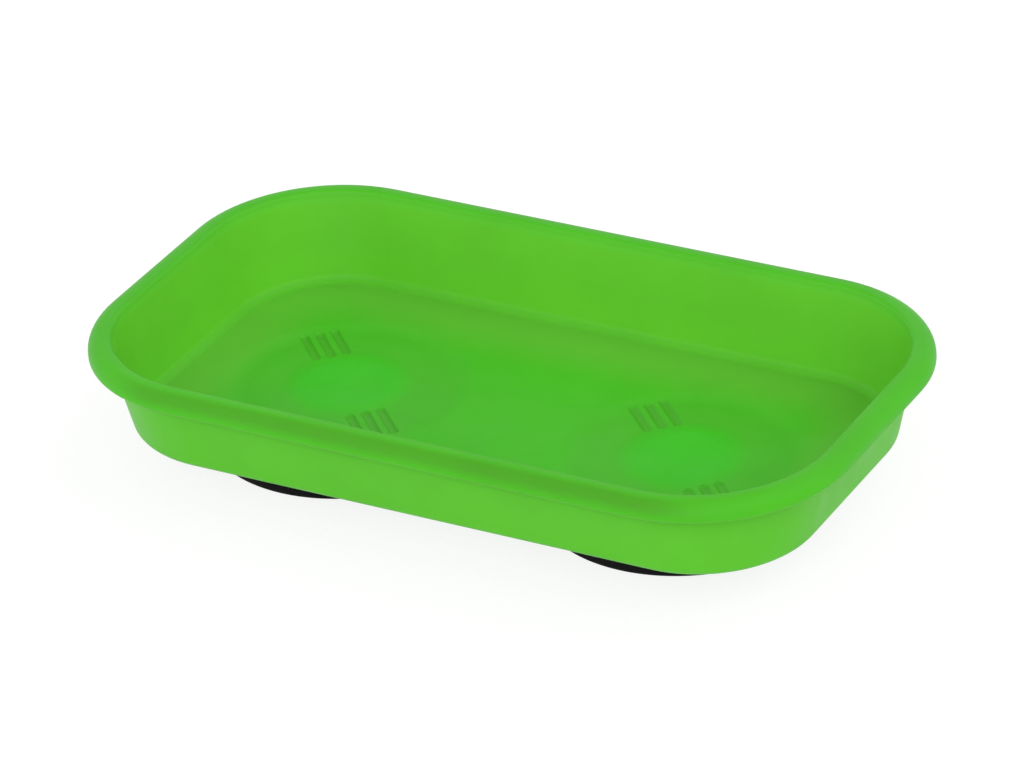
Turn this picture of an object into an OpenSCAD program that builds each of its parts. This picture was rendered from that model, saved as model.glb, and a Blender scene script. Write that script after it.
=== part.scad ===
// Magnetic parts tray: a moulded pan with leaning walls and a rolled rim, standing on two ring magnets
// in rubber boots.
// Millimetres. +X runs along the tray and +Z up. The origin is on the surface that the boots rest on,
// under the middle of the pan.

/* [Pan] */
// Length of the tray over its rim
tray_length = 240; // [225:1:280]
// Width of the tray over its rim
tray_width = 140; // [130:1:170]
// Height of the pan, from its underside to the top of its rim
pan_height = 30.1; // [27:0.1:40]
// Corner radius of the rim's outline
corner_radius = 45.5; // [38:0.5:52]
// Thickness of the side walls
wall = 2; // [1.7:0.1:2.6]
// Thickness of the floor
floor_thickness = 2.2; // [2:0.1:3]
// Outward lean of the side walls, in degrees
wall_draft = 13; // [6:0.5:15]
// Radius under the edge of the floor, outside
base_round = 3.5; // [2.8:0.1:6]
// Radius between the floor and the walls, inside
floor_fillet = 3; // [1.5:0.1:5]

/* [Rim] */
// Width of the rim, from its outer edge to the walls' inner face carried up to its top
rim_width = 6.8; // [6.4:0.1:8.5]
// Radius of the rim's outer edge
rim_round = 4.5; // [3:0.1:4.8]
// Radius of the rim's inner edge
rim_fillet = 1.6; // [0.8:0.1:1.8]
// Thickness of the rim and of the lip turned down along its edge
rim_thickness = 2; // [1.6:0.1:2.4]
// Height of that lip, from the top of the rim
lip_drop = 6; // [5.6:0.1:8]

/* [Magnet seats] */
// Distance between the centres of the two magnets
magnet_spacing = 110.5; // [100:0.5:115]
// Depth of the ring dished into the floor over each magnet
seat_depth = 0.6; // [0.4:0.1:1.2]
// Width of the soft slope round the outside of that ring
seat_slope = 8; // [3:0.5:9]
// Width of the soft slope round its hub
hub_slope = 9; // [2:0.5:10]
// Distance of the ring's outer edge inside the rim of the magnet
seat_inset = 2; // [1:0.5:4]
// Distance of the hub's edge inside the bore of the magnet
hub_inset = 8; // [3:0.5:10]

/* [Seat grooves] */
// Grooves in each group
groove_count = 3; // [1:1:5]
// Groups round each seat
groove_groups = 2; // [1:1:4]
// Direction of the first group, in degrees from +X
groove_angle = 135; // [0:5:180]
// Length of a groove with its round ends
groove_length = 16; // [10:0.5:18]
// Width of a groove
groove_width = 3; // [2:0.1:3.6]
// Distance between neighbouring grooves
groove_pitch = 4.7; // [4:0.1:6]
// Depth of a groove below the dished ring
groove_depth = 0.6; // [0.4:0.1:0.9]

/* [Ring magnets] */
// Outer diameter of the magnet
magnet_diameter = 80; // [76:0.5:84]
// Diameter of its bore
magnet_bore = 40; // [36:0.5:44]
// Height of the magnet
magnet_height = 10; // [9:0.5:14]

/* [Rubber boots] */
// Thickness of the boot round the magnet
boot_wall = 2.1; // [1.2:0.1:3]
// Thickness of the boot under the magnet
boot_floor = 2.1; // [1.6:0.1:3]
// Thickness of the lip that folds in over the magnet
boot_lip = 1.2; // [0.8:0.1:1.6]
// How far that lip reaches over the magnet
boot_grip = 2.5; // [1.5:0.1:4]
// Rounding of the boot's lower edge
boot_edge = 1.4; // [0.6:0.1:1.5]

/* [Retaining washers] */
// Thickness of the washer's sheet
retainer_thickness = 1; // [0.8:0.1:1.2]
// How far the washer's flange reaches under the magnet
retainer_reach = 8; // [5:0.5:12]
// How far the washer's dish rises into the magnet's bore
dish_rise = 5; // [4:0.5:6]
// Diameter of the flat in the middle of the dish
dish_flat = 20; // [16:0.5:24]
// Distance of the dish's foot inside the magnet's bore
dish_inset = 3; // [2:0.5:5]

/* [Screws] */
// Diameter of the hole through the washer
washer_hole = 4.6; // [4.2:0.1:6]
// Diameter of the pilot hole in the boss
pilot_diameter = 3.4; // [3:0.1:4]
// Diameter of the pan head
head_diameter = 8; // [7:0.1:10]
// Height of the pan head
head_height = 2.6; // [2:0.1:3]
// Outer diameter of the boss that takes the screw
boss_diameter = 10; // [8:0.5:14]

/* [Hidden] */
$fn = 96;

// Sides of the tray that the two magnets stand on
left = -1;
right = 1;
sides = [left, right];

// Every cut runs this far past the face that it starts from
overrun = 1;
// Room between the boot and the magnet, and between the boot's lip and the seat
boot_clearance = 0.1;
// Room between the magnet's bore and the spigot that centres it
bore_clearance = 0.3;
// Room round the washer in the boot's recess
retainer_clearance = 0.3;
// Room between the screw's core and its pilot hole
core_clearance = 0.05;
// Room past the tip of the screw
tip_clearance = 0.4;

// Wall and depth of the spigot under the floor that centres the magnet
spigot_wall = 2;
spigot_depth = 4;
// Ribs between the boss and the spigot, and how far they stop short of the boss's end
rib_count = 4;
rib_thickness = 1.6;
rib_step = 1;
// How far the pilot hole runs on into the floor
pilot_overrun = 0.2;
// Rounding of the boot's upper edge and of the screw's head
boot_top_edge = 0.5;
head_edge = 1;
// Arms of the cross recess in the screw's head
recess_length = 4.4;
recess_width = 1;
recess_depth = 1.4;
// Bevel on the edges of the magnet
magnet_bevel = 0.6;
// Straight steps that draw each soft slope of the seat
slope_steps = 10;

// Heights, from the surface that the boots rest on
magnet_z = boot_floor;
seat_z = magnet_z + magnet_height;
pan_z = seat_z + boot_lip;
floor_z = pan_z + floor_thickness;
dish_z = magnet_z + dish_rise;
spigot_end_z = seat_z - spigot_depth;
head_z = dish_z - retainer_thickness;
pilot_end_z = pan_z + pilot_overrun;

// Radii about a magnet's centre
magnet_r = magnet_diameter / 2;
bore_r = magnet_bore / 2;
boot_inner_r = magnet_r + boot_clearance;
boot_outer_r = boot_inner_r + boot_wall;
boot_lip_r = magnet_r - boot_grip;
pad_r = boot_lip_r - boot_clearance;
spigot_outer_r = bore_r - bore_clearance;
spigot_inner_r = spigot_outer_r - spigot_wall;
retainer_r = bore_r + retainer_reach;
dish_foot_r = bore_r - dish_inset;
dish_flat_r = dish_flat / 2;
hub_r = bore_r - hub_inset;
seat_r = magnet_r - seat_inset;
ring_inner_r = hub_r + hub_slope;
ring_outer_r = seat_r - seat_slope;
groove_r = (ring_inner_r + ring_outer_r) / 2;
core_r = pilot_diameter / 2 - core_clearance;

// Radius of a groove's round bottom, from its width and depth
groove_round = (groove_width * groove_width / 4 + groove_depth * groove_depth) / (2 * groove_depth);

// The pan's section is drawn outward from the centre of a corner and up from the pan's underside
corner_x = tray_length / 2 - corner_radius;
corner_y = tray_width / 2 - corner_radius;
// Direction square to the leaning walls, and their thickness along the level
wall_normal = [cos(wall_draft), -sin(wall_draft)];
wall_run = wall / cos(wall_draft);
// Centres of the rim's inner and outer rounds
edge_v = pan_height - rim_fillet;
edge_u = inner_face(edge_v) + rim_fillet / cos(wall_draft);
shoulder_u = corner_radius - rim_round;
shoulder_v = pan_height - rim_round;

pan_colour = "#5cc036";
rubber_colour = "#18191a";
ferrite_colour = "#3c3d40";
zinc_colour = "#b9bec4";

// Points of a soft step from one radius and height to another, level at both ends
function soft_step(from, to) = [
    for (i = [0 : slope_steps])
        let (t = i / slope_steps)
        [from.x + (to.x - from.x) * t, from.y + (to.y - from.y) * t * t * (3 - 2 * t)]
];

// Place of the walls' inner face along the section, at a height above the pan's underside
function inner_face(v) = corner_radius - rim_width - (pan_height - v) * tan(wall_draft);

// What lies inside a face of the walls, from a level with a rounded corner up to a crest line
module basin_section(face_offset, level, round, start_u, crest) {
    centre_v = level + round;
    centre_u = inner_face(centre_v) + face_offset - round / cos(wall_draft);
    centre = [centre_u, centre_v];
    polygon(concat(
        [[start_u, level], [centre_u, level], centre + round * wall_normal],
        crest,
        [[start_u, crest[len(crest) - 1].y]]
    ));
    translate(centre)
        circle(r = round);
}

// Floor and wall of the pan, up into the rim
module wall_section() {
    over_top_v = pan_height + overrun;
    difference() {
        basin_section(wall_run, 0, base_round, 0, [
            [inner_face(edge_v) + wall_run, edge_v],
            [edge_u, edge_v + rim_fillet / 2],
            [edge_u, edge_v] - rim_fillet * wall_normal
        ]);
        basin_section(0, floor_thickness, floor_fillet, -overrun, [[inner_face(over_top_v), over_top_v]]);
    }
}

// Rim: a round inner edge, a narrow level top and a wide round outer edge
module rim_section() {
    intersection() {
        translate([edge_u, edge_v])
            circle(r = rim_fillet);
        polygon([
            [edge_u, edge_v],
            [edge_u, edge_v] - 2 * rim_fillet * wall_normal,
            [edge_u, edge_v + 2 * rim_fillet]
        ]);
    }
    polygon([
        [edge_u, pan_height - rim_thickness],
        [shoulder_u, pan_height - rim_thickness],
        [shoulder_u + rim_thickness / 4, pan_height - rim_thickness / 2],
        [shoulder_u, pan_height],
        [edge_u, pan_height]
    ]);
    translate([shoulder_u, shoulder_v])
        intersection() {
            difference() {
                circle(r = rim_round);
                circle(r = rim_round - rim_thickness);
            }
            square(rim_round);
        }
}

// Lip below the rim's outer edge, with a round end
module lip_section() {
    end_v = pan_height - lip_drop + rim_thickness / 2;
    translate([corner_radius - rim_thickness, end_v])
        square([rim_thickness, shoulder_v - end_v]);
    translate([corner_radius - rim_thickness / 2, end_v])
        circle(d = rim_thickness);
}

module pan_section() {
    wall_section();
    rim_section();
    lip_section();
}

// Carries a section once round the outline, as four sides and four corners
module around_outline() {
    for (turn = [0, 90, 180, 270]) {
        half = turn % 180 == 0 ? [corner_x, corner_y] : [corner_y, corner_x];
        rotate(turn)
            translate(half) {
                rotate([90, 0, 0])
                    linear_extrude(2 * half.y)
                        children();
                rotate_extrude(angle = 90)
                    children();
            }
    }
}

module pan_shell() {
    translate([0, 0, pan_z]) {
        around_outline()
            pan_section();
        translate([-corner_x, -corner_y, 0])
            cube([2 * corner_x, 2 * corner_y, floor_thickness]);
    }
}

// Pad that bears on the magnet, the spigot inside its bore, and the ribbed boss for its screw
module seat_underside() {
    rotate_extrude()
        polygon([
            [spigot_inner_r, pan_z],
            [spigot_inner_r, spigot_end_z],
            [spigot_outer_r, spigot_end_z],
            [spigot_outer_r, seat_z],
            [pad_r, seat_z],
            [pad_r, pan_z]
        ]);
    translate([0, 0, dish_z])
        cylinder(d = boss_diameter, h = pan_z - dish_z);
    for (i = [0 : rib_count - 1])
        rotate(i * 360 / rib_count)
            translate([0, -rib_thickness / 2, dish_z + rib_step])
                cube([spigot_inner_r + spigot_wall / 2, rib_thickness, pan_z - dish_z - rib_step]);
}

// Ring dished into the floor round the hub, with soft slopes on both sides
module seat_dish() {
    low_z = floor_z - seat_depth;
    rotate_extrude()
        polygon(concat(
            [[hub_r, floor_z + overrun]],
            soft_step([hub_r, floor_z], [ring_inner_r, low_z]),
            soft_step([ring_outer_r, low_z], [seat_r, floor_z]),
            [[seat_r, floor_z + overrun]]
        ));
}

// Round-bottomed groove with round ends, along +X
module groove() {
    straight = groove_length - groove_width;
    translate([0, 0, floor_z - seat_depth - groove_depth + groove_round])
        rotate([0, 90, 0])
            rotate_extrude()
                intersection() {
                    union() {
                        square([2 * groove_round, straight], center = true);
                        for (end = [-straight / 2, straight / 2])
                            translate([0, end])
                                circle(r = groove_round);
                    }
                    translate([0, -groove_length])
                        square([groove_round, 2 * groove_length]);
                }
}

// Groups of parallel grooves, facing each other across the hub
module seat_grooves() {
    for (group = [0 : groove_groups - 1])
        rotate(groove_angle + group * 360 / groove_groups)
            for (i = [0 : groove_count - 1])
                translate([groove_r, (i - (groove_count - 1) / 2) * groove_pitch, 0])
                    groove();
}

module pilot_hole() {
    translate([0, 0, dish_z - overrun])
        cylinder(d = pilot_diameter, h = pilot_end_z - dish_z + overrun);
}

module at_magnet(side) {
    translate([side * magnet_spacing / 2, 0, 0])
        children();
}

module tray_pan() {
    color(pan_colour)
        difference() {
            union() {
                pan_shell();
                for (side = sides)
                    at_magnet(side)
                        seat_underside();
            }
            for (side = sides)
                at_magnet(side) {
                    seat_dish();
                    seat_grooves();
                    pilot_hole();
                }
        }
}

module magnet(side) {
    color(ferrite_colour)
        at_magnet(side)
            rotate_extrude()
                polygon([
                    [bore_r, magnet_z],
                    [magnet_r - magnet_bevel, magnet_z],
                    [magnet_r, magnet_z + magnet_bevel],
                    [magnet_r, seat_z - magnet_bevel],
                    [magnet_r - magnet_bevel, seat_z],
                    [bore_r, seat_z]
                ]);
}

// Outline of the boot as if it were solid, with its lower and upper edges rounded
module boot_outline() {
    square([boot_outer_r - boot_edge, boot_edge]);
    translate([0, boot_edge])
        square([boot_outer_r, pan_z - boot_edge - boot_top_edge]);
    translate([0, pan_z - boot_top_edge])
        square([boot_outer_r - boot_top_edge, boot_top_edge]);
    translate([boot_outer_r - boot_edge, boot_edge])
        circle(r = boot_edge);
    translate([boot_outer_r - boot_top_edge, pan_z - boot_top_edge])
        circle(r = boot_top_edge);
}

// The boot holds the magnet, has a recess for the washer's flange and is open in the middle above
module boot(side) {
    recess_z = boot_floor - retainer_thickness;
    color(rubber_colour)
        at_magnet(side)
            rotate_extrude()
                difference() {
                    boot_outline();
                    translate([-overrun, magnet_z])
                        square([boot_inner_r + overrun, magnet_height]);
                    translate([-overrun, recess_z])
                        square([retainer_r + retainer_clearance + overrun, magnet_height]);
                    translate([-overrun, magnet_z])
                        square([boot_lip_r + overrun, pan_z - magnet_z + overrun]);
                }
}

module retainer(side) {
    under_z = magnet_z - retainer_thickness;
    color(zinc_colour)
        at_magnet(side)
            rotate_extrude()
                polygon([
                    [washer_hole / 2, head_z],
                    [dish_flat_r, head_z],
                    [dish_foot_r, under_z],
                    [retainer_r, under_z],
                    [retainer_r, magnet_z],
                    [dish_foot_r, magnet_z],
                    [dish_flat_r, dish_z],
                    [washer_hole / 2, dish_z]
                ]);
}

// Pan head below the washer's dish, with its core up in the boss
module screw(side) {
    head_r = head_diameter / 2;
    color(zinc_colour)
        at_magnet(side)
            difference() {
                rotate_extrude() {
                    translate([0, head_z - head_height])
                        square([head_r - head_edge, head_edge]);
                    translate([0, head_z - head_height + head_edge])
                        square([head_r, head_height - head_edge]);
                    intersection() {
                        translate([head_r - head_edge, head_z - head_height + head_edge])
                            circle(r = head_edge);
                        translate([head_r - head_edge, head_z - head_height])
                            square(head_edge);
                    }
                    translate([0, head_z])
                        square([core_r, pilot_end_z - tip_clearance - head_z]);
                }
                for (turn = [0, 90])
                    rotate(turn)
                        translate([-recess_length / 2, -recess_width / 2, head_z - head_height - overrun])
                            cube([recess_length, recess_width, recess_depth + overrun]);
            }
}

tray_pan();
magnet(left);  // left_magnet
magnet(right);  // right_magnet
boot(left);  // left_boot
boot(right);  // right_boot
retainer(left);  // left_retainer
retainer(right);  // right_retainer
screw(left);  // left_screw
screw(right);  // right_screw
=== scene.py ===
import math

import bpy
from mathutils import Matrix, Vector


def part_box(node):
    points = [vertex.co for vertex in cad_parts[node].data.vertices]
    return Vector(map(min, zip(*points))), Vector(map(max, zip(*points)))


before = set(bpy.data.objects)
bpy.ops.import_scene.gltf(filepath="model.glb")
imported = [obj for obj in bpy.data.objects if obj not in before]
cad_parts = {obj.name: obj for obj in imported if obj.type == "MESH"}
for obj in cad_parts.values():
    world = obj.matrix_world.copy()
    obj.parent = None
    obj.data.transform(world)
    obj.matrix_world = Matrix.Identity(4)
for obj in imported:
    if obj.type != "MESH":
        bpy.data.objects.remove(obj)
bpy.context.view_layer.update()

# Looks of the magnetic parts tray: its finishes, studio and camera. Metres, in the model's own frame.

MM = 0.001
WHITE = (1, 1, 1, 1)
# Height of the rim's top
RIM_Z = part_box("tray_pan")[1][2]


# Colours and nodes

def linear(hex_colour):
    """Turns an sRGB hex colour such as "#5cc036" into the linear RGBA that shader sockets take."""
    parts = [int(hex_colour[i:i + 2], 16) / 255 for i in (1, 3, 5)]
    return [p / 12.92 if p <= 0.04045 else ((p + 0.055) / 1.055) ** 2.4 for p in parts] + [1.0]


def add_node(tree, kind, settings=None, inputs=None):
    """Adds a shader node, sets its properties, then sets each input or links it to another node's output."""
    made = tree.nodes.new(kind)
    for name, value in (settings or {}).items():
        setattr(made, name, value)
    for name, value in (inputs or {}).items():
        socket = made.inputs[name]
        if isinstance(value, bpy.types.NodeSocket):
            tree.links.new(value, socket)
        else:
            socket.default_value = value
    return made


def new_material(name):
    """An empty material and its node tree."""
    material = bpy.data.materials.new(name)
    material.use_nodes = True
    material.node_tree.nodes.clear()
    return material, material.node_tree


def cloudy(tree, place, patch, low, high):
    """A value that drifts between two limits in soft patches of a given size."""
    clouds = add_node(tree, "ShaderNodeTexNoise", inputs={
        "Vector": place, "Scale": 1 / patch, "Detail": 3.0, "Roughness": 0.55})
    # Most of the noise lies between 0.3 and 0.7
    return add_node(tree, "ShaderNodeMapRange", inputs={
        "Value": clouds.outputs["Fac"], "From Min": 0.3, "From Max": 0.7,
        "To Min": low, "To Max": high}).outputs["Result"]


def fine_grain(tree, place, grain, depth):
    """Normal of a surface with rounded grains of a given size and depth."""
    grains = add_node(tree, "ShaderNodeTexNoise", inputs={
        "Vector": place, "Scale": 1 / grain, "Detail": 2.0, "Roughness": 0.5})
    return add_node(tree, "ShaderNodeBump", inputs={
        "Strength": 1.0, "Distance": depth, "Height": grains.outputs["Fac"]}).outputs["Normal"]


# The pan's sizes that its colour follows, in millimetres

# Plan: half the spacing of the corner centres, the radius from them to the rim's edge, and the rim's width
CORNER_CENTRE = (74.5, 24.5)
EDGE = 45.5
RIM_WIDTH = 6.8
# Tangent of the walls' lean
LEAN = math.tan(math.radians(13))
# Heights of the rim's top, of the floor, and of the ring dished into the floor over each magnet
TOP = RIM_Z / MM
FLOOR = 15.5
RING = 14.9
# Distance of each magnet's centre from the middle, and radii about it: the seat's edge, the foot of the soft
# slope up to the hub, and the hub's edge
SEAT_X = 55.25
SEAT_EDGE = 38.0
HUB_FOOT = 21.0
HUB_EDGE = 12.0


def pan_zones(tree, place):
    """Soft zones that follow the pan's form, by name. Each is 1 inside and fades to 0 outside."""
    # The place in millimetres, and the same folded into one quarter of the plan
    placed = add_node(tree, "ShaderNodeVectorMath", {"operation": "SCALE"}, {
        0: place, "Scale": 1 / MM}).outputs["Vector"]
    folded = add_node(tree, "ShaderNodeVectorMath", {"operation": "ABSOLUTE"}, {0: placed}).outputs["Vector"]
    height = add_node(tree, "ShaderNodeSeparateXYZ", inputs={"Vector": placed}).outputs["Z"]

    # Distance in plan outside the rectangle of the corner centres, which is EDGE all along the rim's edge.
    # Twice the height comes off too, so that nothing is left upwards.
    past = add_node(tree, "ShaderNodeVectorMath", {"operation": "SUBTRACT"}, {
        0: folded, 1: (*CORNER_CENTRE, 2 * TOP)})
    outside = add_node(tree, "ShaderNodeVectorMath", {"operation": "MAXIMUM"}, {
        0: past.outputs["Vector"]}).outputs["Vector"]
    reach = add_node(tree, "ShaderNodeVectorMath", {"operation": "LENGTH"}, {0: outside}).outputs["Value"]
    # Its part along the tray, which is nothing on the long sides
    endward = add_node(tree, "ShaderNodeSeparateXYZ", inputs={"Vector": outside}).outputs["X"]
    # The same distance carried down along the lean of the walls to height zero
    carried = add_node(tree, "ShaderNodeMath", {"operation": "MULTIPLY_ADD"}, {
        0: height, 1: -LEAN, 2: reach}).outputs[0]
    # How far over the rim's roll a point lies, from the lip up to the level top
    over = add_node(tree, "ShaderNodeMath", {"operation": "SUBTRACT"}, {0: height, 1: reach}).outputs[0]
    # Distance from the axis of the nearer magnet
    offset = add_node(tree, "ShaderNodeVectorMath", {"operation": "SUBTRACT"}, {
        0: folded, 1: (SEAT_X, 0, 0)})
    level = add_node(tree, "ShaderNodeVectorMath", {"operation": "MULTIPLY"}, {
        0: offset.outputs["Vector"], 1: (1, 1, 0)})
    radius = add_node(tree, "ShaderNodeVectorMath", {"operation": "LENGTH"}, {
        0: level.outputs["Vector"]}).outputs["Value"]

    # Reach of the walls' inner face at the floor and carried down to height zero, and the roll's corner
    foot = EDGE - RIM_WIDTH - (TOP - FLOOR) * LEAN
    inner_face = foot - FLOOR * LEAN
    corner = TOP - EDGE
    # Zones as soft steps: what they follow, where they start and where they are full. They place painted
    # light and shade in the colour.
    zones = {}
    for zone, measure, start, full in (
            ("under_lip", height, TOP - 9.0, TOP - 6.5),
            ("inside", carried, inner_face + 1.3, inner_face + 0.7),
            ("low", height, FLOOR + 14.0, FLOOR + 3.0),
            ("high", height, TOP - 4.5, TOP - 2.0),
            ("rim", reach, EDGE - 7.7, EDGE - 6.3),
            ("above_lip", over, corner - 5.5, corner - 1.0),
            ("below_crest", over, corner + 4.5, corner + 1.5),
            ("long_side", endward, 24.0, 4.0),
            ("lip_level", height, TOP - 4.6, TOP - 5.6),
            ("at_edge", reach, EDGE - 3.5, EDGE - 2.0),
            ("floor", reach, foot + 0.75, foot - 1.25),
            ("inside_foot", reach, foot + 0.55, foot - 0.45),
            ("outside_floor", reach, foot - 2.45, foot - 1.05),
            ("floor_middle", reach, 25.0, 0.0),
            ("hub", radius, HUB_FOOT, HUB_EDGE),
            ("past_hub", radius, HUB_EDGE + 2.0, HUB_FOOT - 1.0),
            ("in_dish", radius, SEAT_EDGE + 1.0, SEAT_EDGE - 10.0),
            ("near_magnet", radius, SEAT_EDGE, SEAT_EDGE - 2.0),
            ("sunk", height, RING - 0.05, RING - 0.45)):
        zones[zone] = add_node(tree, "ShaderNodeMapRange", {"interpolation_type": "SMOOTHSTEP"}, {
            "Value": measure, "From Min": start, "From Max": full}).outputs["Result"]
    # Zones where two others meet
    for zone, first, second in (
            ("low_wall", "low", "inside"),
            ("inner_edge", "high", "inside"),
            ("rolled", "above_lip", "below_crest"),
            ("rolled_rim", "rolled", "rim"),
            ("rolled_side", "rolled_rim", "long_side"),
            ("lip_end", "lip_level", "at_edge"),
            ("foot", "inside_foot", "outside_floor"),
            ("ring", "past_hub", "in_dish"),
            ("ring_floor", "ring", "floor"),
            ("hub_floor", "hub", "floor"),
            ("groove", "sunk", "near_magnet")):
        zones[zone] = add_node(tree, "ShaderNodeMath", {"operation": "MULTIPLY"}, {
            0: zones[first], 1: zones[second]}).outputs[0]
    return zones


# Finishes

def moulded_polypropylene():
    """Polypropylene from a satin mould: an even waxy sheen over a fine grain, in slightly cloudy colour.

    It lets a little light through, and the tone that follows its form paints in that light and the shade.
    Painted light makes the walls pale inside and paler low down, and lightens the rim's inner edge, the wall
    under the lip, the lip's end, the floor's edge and the hubs. Painted shade deepens the rim, most where it
    rolls over along the long sides, and the crease at the walls' foot, the rings over the magnets and the
    grooves. The floor is richer towards the middle.
    """
    material, tree = new_material("moulded_polypropylene")
    place = add_node(tree, "ShaderNodeTexCoord").outputs["Object"]
    zones = pan_zones(tree, place)
    # Colour of the walls outside, then of each zone laid over those before it; the zones paint in light and
    # shade
    colour = linear("#5ac025")
    for zone, hex_colour in (
            # Painted light: the wall just under the lip is lighter, where the lip's shade falls
            ("under_lip", "#67d52d"),
            # Painted light: the inner walls are paler than the outer ones, against the shade inside the pan
            ("inside", "#66c52d"),
            # Painted light: paler again low on the inner walls, where shade gathers near the floor
            ("low_wall", "#68ca2e"),
            # Painted highlight along the rim's inner edge
            ("inner_edge", "#67ca37"),
            # Painted shade: the whole rim deeper
            ("rim", "#49b61a"),
            # Painted shade: a darker band where the rim rolls over along the long sides
            ("rolled_side", "#48a11c"),
            # Painted light: the lip's end lighter than the rest of the rim, against the line of shade there
            ("lip_end", "#54b821"),
            # Painted light: the floor paler at its edge, against the shade near the walls
            ("floor", "#62bc34"),
            # Painted shade: a darker band in the crease at the walls' foot
            ("foot", "#5abd27"),
            # Richer towards the middle of the floor, away from the painted light at its edge
            ("floor_middle", "#45bc17"),
            # Painted shade: the ring over each magnet deeper in tone
            ("ring_floor", "#47b71d"),
            # Painted light: the hubs brighter and clearer
            ("hub_floor", "#3ac018"),
            # Painted shade: the grooves darker, where shade falls in them
            ("groove", "#47ad20")):
        colour = add_node(tree, "ShaderNodeMix", {"data_type": "RGBA"}, {
            "Factor": zones[zone], "A": colour, "B": linear(hex_colour)}).outputs["Result"]
    clouded = add_node(tree, "ShaderNodeHueSaturation", inputs={
        "Color": colour, "Value": cloudy(tree, place, 30 * MM, 0.96, 1.03)})

    # The grain of the mould is nearer 0.1 mm, and is drawn coarser so that it shows
    shader = add_node(tree, "ShaderNodeBsdfPrincipled", inputs={
        "Base Color": clouded.outputs["Color"],
        "Roughness": cloudy(tree, place, 12 * MM, 0.4, 0.5),
        "IOR": 1.49,
        "Specular IOR Level": 0.2,
        "Normal": fine_grain(tree, place, 0.8 * MM, 0.006 * MM),
    })
    add_node(tree, "ShaderNodeOutputMaterial", inputs={"Surface": shader.outputs["BSDF"]})
    return material


def moulded_rubber():
    """Black rubber from a grit-blasted mould: matt, with a fine grain and a faint grey bloom in patches."""
    material, tree = new_material("moulded_rubber")
    place = add_node(tree, "ShaderNodeTexCoord").outputs["Object"]
    colour = add_node(tree, "ShaderNodeMix", {"data_type": "RGBA"}, {
        "Factor": cloudy(tree, place, 9 * MM, 0.0, 1.0),
        "A": linear("#070708"), "B": linear("#101011")})
    # Grit marks are nearer 0.2 mm, and are drawn coarser so that they show
    shader = add_node(tree, "ShaderNodeBsdfPrincipled", inputs={
        "Base Color": colour.outputs["Result"],
        "Roughness": cloudy(tree, place, 6 * MM, 0.72, 0.88),
        "IOR": 1.52,
        "Specular IOR Level": 0.15,
        "Normal": fine_grain(tree, place, 0.7 * MM, 0.03 * MM),
    })
    add_node(tree, "ShaderNodeOutputMaterial", inputs={"Surface": shader.outputs["BSDF"]})
    return material


def sintered_ferrite():
    """Pressed and ground ferrite ceramic: dark grey and dull, with fine pale specks."""
    material, tree = new_material("sintered_ferrite")
    place = add_node(tree, "ShaderNodeTexCoord").outputs["Object"]
    # Specks and grinding grain are nearer 0.1 mm, and are drawn coarser so that they show
    specks = add_node(tree, "ShaderNodeTexVoronoi", inputs={"Vector": place, "Scale": 1 / (0.9 * MM)})
    speckled = add_node(tree, "ShaderNodeMapRange", inputs={
        "Value": specks.outputs["Distance"], "From Min": 0.05, "From Max": 0.35})
    colour = add_node(tree, "ShaderNodeMix", {"data_type": "RGBA"}, {
        "Factor": speckled.outputs["Result"], "A": linear("#5a5b5f"), "B": linear("#37383b")})
    clouded = add_node(tree, "ShaderNodeHueSaturation", inputs={
        "Color": colour.outputs["Result"], "Value": cloudy(tree, place, 8 * MM, 0.85, 1.1)})
    shader = add_node(tree, "ShaderNodeBsdfPrincipled", inputs={
        "Base Color": clouded.outputs["Color"],
        "Roughness": cloudy(tree, place, 3 * MM, 0.5, 0.65),
        "IOR": 2.0,
        "Normal": fine_grain(tree, place, 0.5 * MM, 0.02 * MM),
    })
    add_node(tree, "ShaderNodeOutputMaterial", inputs={"Surface": shader.outputs["BSDF"]})
    return material


def zinc_plated_steel():
    """Bright zinc plating over pressed steel: a soft blue-white metal with cloudy, faintly uneven shine."""
    material, tree = new_material("zinc_plated_steel")
    place = add_node(tree, "ShaderNodeTexCoord").outputs["Object"]
    clouded = add_node(tree, "ShaderNodeHueSaturation", inputs={
        "Color": linear("#c3c8ce"), "Value": cloudy(tree, place, 4 * MM, 0.9, 1.05)})
    # The plating's grain is far finer than 0.1 mm, and is drawn coarser so that it shows
    shader = add_node(tree, "ShaderNodeBsdfPrincipled", inputs={
        "Base Color": clouded.outputs["Color"],
        "Metallic": 1.0,
        "Roughness": cloudy(tree, place, 2 * MM, 0.25, 0.4),
        "Normal": fine_grain(tree, place, 0.4 * MM, 0.006 * MM),
    })
    add_node(tree, "ShaderNodeOutputMaterial", inputs={"Surface": shader.outputs["BSDF"]})
    return material


def dress(node_name, material):
    """Gives every material slot of a CAD node one finish."""
    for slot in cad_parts[node_name].material_slots:
        slot.material = material


dress("tray_pan", moulded_polypropylene())
rubber, ferrite, zinc = moulded_rubber(), sintered_ferrite(), zinc_plated_steel()
for side in ("left", "right"):
    dress(f"{side}_boot", rubber)
    dress(f"{side}_magnet", ferrite)
    dress(f"{side}_retainer", zinc)
    dress(f"{side}_screw", zinc)


# Studio

# Even light of the tent
TENT_LIGHT = 0.5
# Its brighter panels: azimuth, elevation and half width in degrees, and the strength that each adds
TENT_PANELS = [(20, 26, 40, 1.9), (105, 48, 40, 1.45), (-60, 10, 40, 1.12), (180, 10, 40, 0.6)]
# Half the width of the card under the tray, and its level, a hair below the boots so that the two don't lie
# in one plane
CARD_HALF = 3.0
CARD_Z = -0.1 * MM
# The card's colour and, where it is seen, the share of plain white in it and that white's strength
CARD_COLOUR = (0.9, 0.9, 0.9, 1)
PLAIN_SHARE = 0.8
PLAIN_STRENGTH = 1.08


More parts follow.
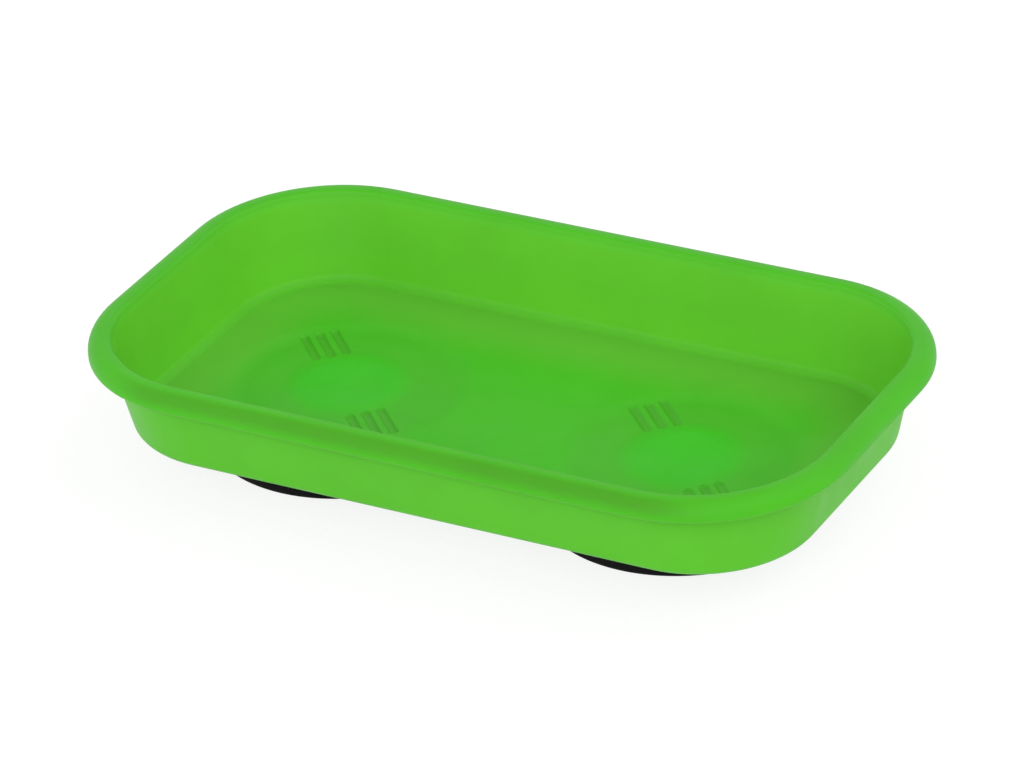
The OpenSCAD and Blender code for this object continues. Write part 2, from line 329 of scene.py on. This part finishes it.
def turned_axes(azimuth, elevation, roll=0.0):
    """Right, up and back directions of a viewer at an azimuth, elevation and roll in degrees."""
    a, e, r = (math.radians(v) for v in (azimuth, elevation, roll))
    back = Vector((math.sin(a) * math.cos(e), -math.cos(a) * math.cos(e), math.sin(e)))
    right = Vector((math.cos(a), math.sin(a), 0))
    up = back.cross(right)
    return (math.cos(r) * right + math.sin(r) * up, math.cos(r) * up - math.sin(r) * right, back)


def seen_directly(tree):
    """1 where the camera, a mirror or glass sees a surface, 0 where it only lights another."""
    path = add_node(tree, "ShaderNodeLightPath")
    direct = add_node(tree, "ShaderNodeMath", {"operation": "MAXIMUM"}, {
        0: path.outputs["Is Camera Ray"], 1: path.outputs["Is Glossy Ray"]})
    return add_node(tree, "ShaderNodeMath", {"operation": "MAXIMUM"}, {
        0: direct.outputs[0], 1: path.outputs["Is Transmission Ray"]}).outputs[0]


def tent_world():
    """White where it is seen. As light, an even tent with brighter panels."""
    world = bpy.data.worlds.new("light_tent")
    world.use_nodes = True
    tree = world.node_tree
    tree.nodes.clear()
    direction = add_node(tree, "ShaderNodeTexCoord").outputs["Generated"]
    strength = TENT_LIGHT
    for azimuth, elevation, half_width, added in TENT_PANELS:
        toward = turned_axes(azimuth, elevation)[2]
        facing = add_node(tree, "ShaderNodeVectorMath", {"operation": "DOT_PRODUCT"}, {
            0: direction, 1: toward})
        spread = add_node(tree, "ShaderNodeMapRange", {"interpolation_type": "SMOOTHSTEP"}, {
            "Value": facing.outputs["Value"],
            "From Min": math.cos(math.radians(half_width)), "From Max": 1.0,
            "To Min": 0.0, "To Max": added})
        strength = add_node(tree, "ShaderNodeMath", {"operation": "ADD"}, {
            0: strength, 1: spread.outputs["Result"]}).outputs[0]
    lit = add_node(tree, "ShaderNodeBackground", inputs={"Color": WHITE, "Strength": strength})
    seen = add_node(tree, "ShaderNodeBackground", inputs={"Color": WHITE, "Strength": 1.0})
    surface = add_node(tree, "ShaderNodeMixShader", inputs={
        0: seen_directly(tree), 1: lit.outputs[0], 2: seen.outputs[0]})
    add_node(tree, "ShaderNodeOutputWorld", inputs={"Surface": surface.outputs[0]})
    bpy.context.scene.world = world


def studio_floor():
    """Flat white card under the tray. It bounces light, and is seen as white with a soft shadow."""
    corners = [(x * CARD_HALF, y * CARD_HALF, CARD_Z) for x, y in ((-1, -1), (1, -1), (1, 1), (-1, 1))]
    mesh = bpy.data.meshes.new("floor")
    mesh.from_pydata(corners, [], [(0, 1, 2, 3)])
    floor = bpy.data.objects.new("floor", mesh)
    bpy.context.collection.objects.link(floor)
    material, tree = new_material("white_card")
    card = add_node(tree, "ShaderNodeBsdfDiffuse", inputs={"Color": CARD_COLOUR})
    white = add_node(tree, "ShaderNodeEmission", inputs={"Color": WHITE, "Strength": PLAIN_STRENGTH})
    seen = add_node(tree, "ShaderNodeMixShader", inputs={
        0: PLAIN_SHARE, 1: card.outputs[0], 2: white.outputs[0]})
    surface = add_node(tree, "ShaderNodeMixShader", inputs={
        0: seen_directly(tree), 1: card.outputs[0], 2: seen.outputs[0]})
    add_node(tree, "ShaderNodeOutputMaterial", inputs={"Surface": surface.outputs[0]})
    mesh.materials.append(material)


tent_world()
studio_floor()


# Camera, fitted to the outline in the photo

VIEW_AZIMUTH, VIEW_ELEVATION, VIEW_ROLL = 29.966, 29.415, -3.690
VIEW_DISTANCE = 1.7615
# Millimetres from the middle of the rim's top to the point that the camera faces, to the right and up
AIM_RIGHT, AIM_UP = 1.244, -14.275
# Focal length and width of the picture in pixels, and width of the sensor in millimetres
FOCAL_PIXELS = 6104.3
FRAME_PIXELS = 1024
SENSOR_WIDTH = 36

right, up, back = turned_axes(VIEW_AZIMUTH, VIEW_ELEVATION, VIEW_ROLL)
eye = Vector((0, 0, RIM_Z)) + (right * AIM_RIGHT + up * AIM_UP) * MM + back * VIEW_DISTANCE
camera_data = bpy.data.cameras.new("photo_view")
camera_data.sensor_width = SENSOR_WIDTH
camera_data.lens = FOCAL_PIXELS / FRAME_PIXELS * SENSOR_WIDTH
camera = bpy.data.objects.new("photo_view", camera_data)
bpy.context.collection.objects.link(camera)
camera.matrix_world = Matrix.Translation(eye) @ Matrix((right, up, back)).transposed().to_4x4()
bpy.context.scene.camera = camera
bpy.context.scene.view_settings.view_transform = "Standard"
